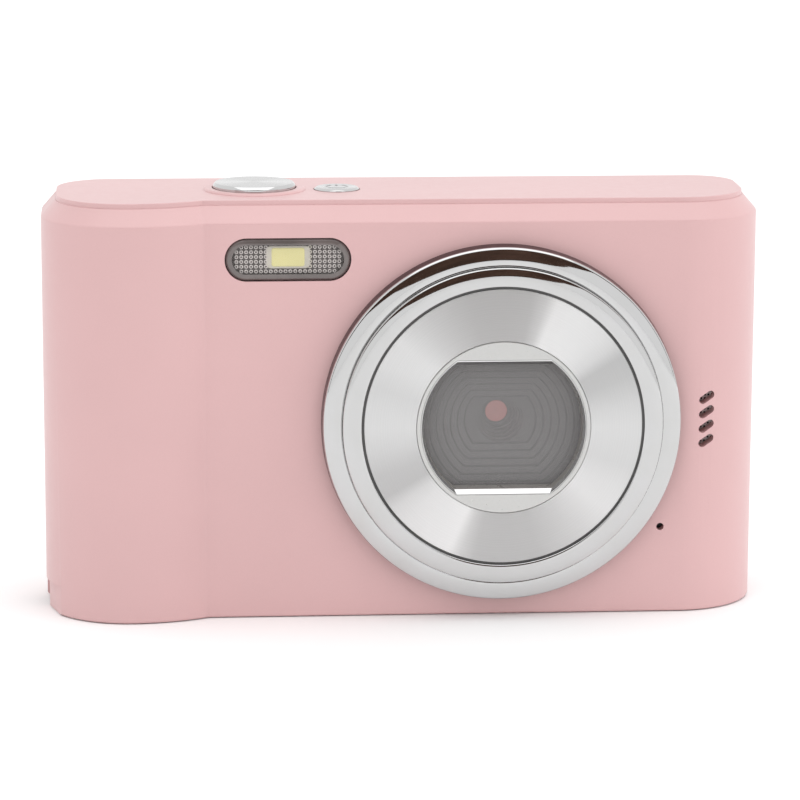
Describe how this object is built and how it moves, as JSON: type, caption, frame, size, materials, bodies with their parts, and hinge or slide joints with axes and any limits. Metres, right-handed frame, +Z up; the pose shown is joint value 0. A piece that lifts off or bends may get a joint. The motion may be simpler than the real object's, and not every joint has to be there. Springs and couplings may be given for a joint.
{
  "type": "compact digital camera",
  "caption": "Compact pink digital camera with a fixed lens, a chrome lens ring, a bulged hand grip, a flash, top buttons, rear keys and screen, and a hinged battery door.",
  "frame": {"origin": "middle of the overall box, on the surface the camera stands on", "axes": "+X across the width, to the right seen from the front; the lens faces -Y; +Z up"},
  "size_m": [0.1, 0.0299, 0.0595],
  "materials": {
    "pink_plastic": "fine satin",
    "key_plastic": "satin",
    "spun_metal": "spun, radial glints",
    "satin_metal": "satin",
    "chrome_trim": "mirror plated",
    "black_plastic": "matt",
    "circuit_board": "solder mask",
    "smoky_clear": "clear moulded, smoky edge",
    "reflector": "dimpled",
    "flash_phosphor": "translucent",
    "clear_window": "hazy",
    "coated_glass": "coated",
    "sensor_glass": "gloss",
    "dark_screen": "gloss",
    "screen_gloss": "high gloss",
    "sheet_metal": "brushed",
    "spring_steel": "bright",
    "steel_mesh": "blackened",
    "steel_insert": "plain",
    "light_pipe": "translucent",
    "battery_wrap": "satin film",
    "gold_contacts": "plated",
    "orange_plastic": "satin",
    "card_plastic": "satin"
  },
  "bodies": {
    "camera_body": {"front_shell": "pink_plastic", "rear_shell": "pink_plastic", "top_cover": "pink_plastic", "shutter_spring": "spring_steel", "top_switches": "black_plastic", "top_board": "circuit_board", "flash_window": "smoky_clear", "flash_reflector": "reflector", "flash_led": "flash_phosphor", "flash_board": "circuit_board", "lens_outer_ring": "chrome_trim", "lens_inner_ring": "chrome_trim", "lens_disc": "spun_metal", "lens_plate": "satin_metal", "window_bezel": "chrome_trim", "lens_window": "clear_window", "lens_baffle": "black_plastic", "lens_barrel": "black_plastic", "lens_front_element": "coated_glass", "lens_rear_element": "coated_glass", "lens_holder": "black_plastic", "image_sensor": "sensor_glass", "sensor_board": "circuit_board", "main_board": "circuit_board", "main_chips": "black_plastic", "lcd_panel": "dark_screen", "lcd_frame": "sheet_metal", "screen_cover": "screen_gloss", "key_board": "circuit_board", "key_domes": "sheet_metal", "status_light": "light_pipe", "battery": "battery_wrap", "battery_tray": "black_plastic", "battery_contacts": "gold_contacts", "door_hinge_pin": "spring_steel", "card_socket": "sheet_metal", "usb_socket": "sheet_metal", "speaker": "black_plastic", "speaker_mesh": "steel_mesh", "microphone": "sheet_metal", "tripod_nut": "steel_insert", "strap_bar": "spring_steel", "screws": "spring_steel"},
    "shutter_button": {"shutter_button": "spun_metal"},
    "power_button": {"power_button": "spun_metal"},
    "battery_door": {"battery_door": "pink_plastic"},
    "door_latch": {"door_latch": "black_plastic"},
    "memory_card": {"memory_card": "card_plastic"},
    "battery_catch": {"battery_catch": "orange_plastic"},
    "key_zoom_out": {"key_zoom_out": "key_plastic"},
    "key_zoom_in": {"key_zoom_in": "key_plastic"},
    "key_mode": {"key_mode": "key_plastic"},
    "key_menu": {"key_menu": "key_plastic"},
    "key_up": {"key_up": "key_plastic"},
    "key_down": {"key_down": "key_plastic"},
    "key_left": {"key_left": "key_plastic"},
    "key_right": {"key_right": "key_plastic"},
    "key_ok": {"key_ok": "key_plastic"},
    "key_play": {"key_play": "key_plastic"},
    "key_delete": {"key_delete": "key_plastic"}
  },
  "joints": [
    {"name": "shutter_press", "type": "slide", "parent": "camera_body", "child": "shutter_button", "axis": [0, 0, -1], "range_m": [0, 0.001], "stiffness_N_per_m": 400, "deforming": ["shutter_spring"]},
    {"name": "power_press", "type": "slide", "parent": "camera_body", "child": "power_button", "axis": [0, 0, -1], "range_m": [0, 0.0004], "stiffness_N_per_m": 600},
    {"name": "key_zoom_out_press", "type": "slide", "parent": "camera_body", "child": "key_zoom_out", "axis": [0, -1, 0], "range_m": [0, 0.0004], "stiffness_N_per_m": 600},
    {"name": "key_zoom_in_press", "type": "slide", "parent": "camera_body", "child": "key_zoom_in", "axis": [0, -1, 0], "range_m": [0, 0.0004], "stiffness_N_per_m": 600},
    {"name": "key_mode_press", "type": "slide", "parent": "camera_body", "child": "key_mode", "axis": [0, -1, 0], "range_m": [0, 0.0004], "stiffness_N_per_m": 600},
    {"name": "key_menu_press", "type": "slide", "parent": "camera_body", "child": "key_menu", "axis": [0, -1, 0], "range_m": [0, 0.0004], "stiffness_N_per_m": 600},
    {"name": "key_up_press", "type": "slide", "parent": "camera_body", "child": "key_up", "axis": [0, -1, 0], "range_m": [0, 0.0004], "stiffness_N_per_m": 600},
    {"name": "key_down_press", "type": "slide", "parent": "camera_body", "child": "key_down", "axis": [0, -1, 0], "range_m": [0, 0.0004], "stiffness_N_per_m": 600},
    {"name": "key_left_press", "type": "slide", "parent": "camera_body", "child": "key_left", "axis": [0, -1, 0], "range_m": [0, 0.0004], "stiffness_N_per_m": 600},
    {"name": "key_right_press", "type": "slide", "parent": "camera_body", "child": "key_right", "axis": [0, -1, 0], "range_m": [0, 0.0004], "stiffness_N_per_m": 600},
    {"name": "key_ok_press", "type": "slide", "parent": "camera_body", "child": "key_ok", "axis": [0, -1, 0], "range_m": [0, 0.0004], "stiffness_N_per_m": 600},
    {"name": "key_play_press", "type": "slide", "parent": "camera_body", "child": "key_play", "axis": [0, -1, 0], "range_m": [0, 0.0004], "stiffness_N_per_m": 600},
    {"name": "key_delete_press", "type": "slide", "parent": "camera_body", "child": "key_delete", "axis": [0, -1, 0], "range_m": [0, 0.0004], "stiffness_N_per_m": 600},
    {"name": "battery_door_hinge", "type": "hinge", "parent": "camera_body", "child": "battery_door", "pos_m": [-0.02575, 0.00137, 0.0008], "axis": [1, 0, 0], "range_deg": [0, 95]},
    {"name": "door_latch_slide", "type": "slide", "parent": "battery_door", "child": "door_latch", "axis": [1, 0, 0], "range_m": [0, 0.002], "stiffness_N_per_m": 150},
    {"name": "memory_card_push", "type": "slide", "parent": "camera_body", "child": "memory_card", "axis": [0, 0, 1], "range_m": [0, 0.0008], "stiffness_N_per_m": 500},
    {"name": "battery_catch_slide", "type": "slide", "parent": "camera_body", "child": "battery_catch", "axis": [1, 0, 0], "range_m": [0, 0.0012], "stiffness_N_per_m": 200}
  ]
}
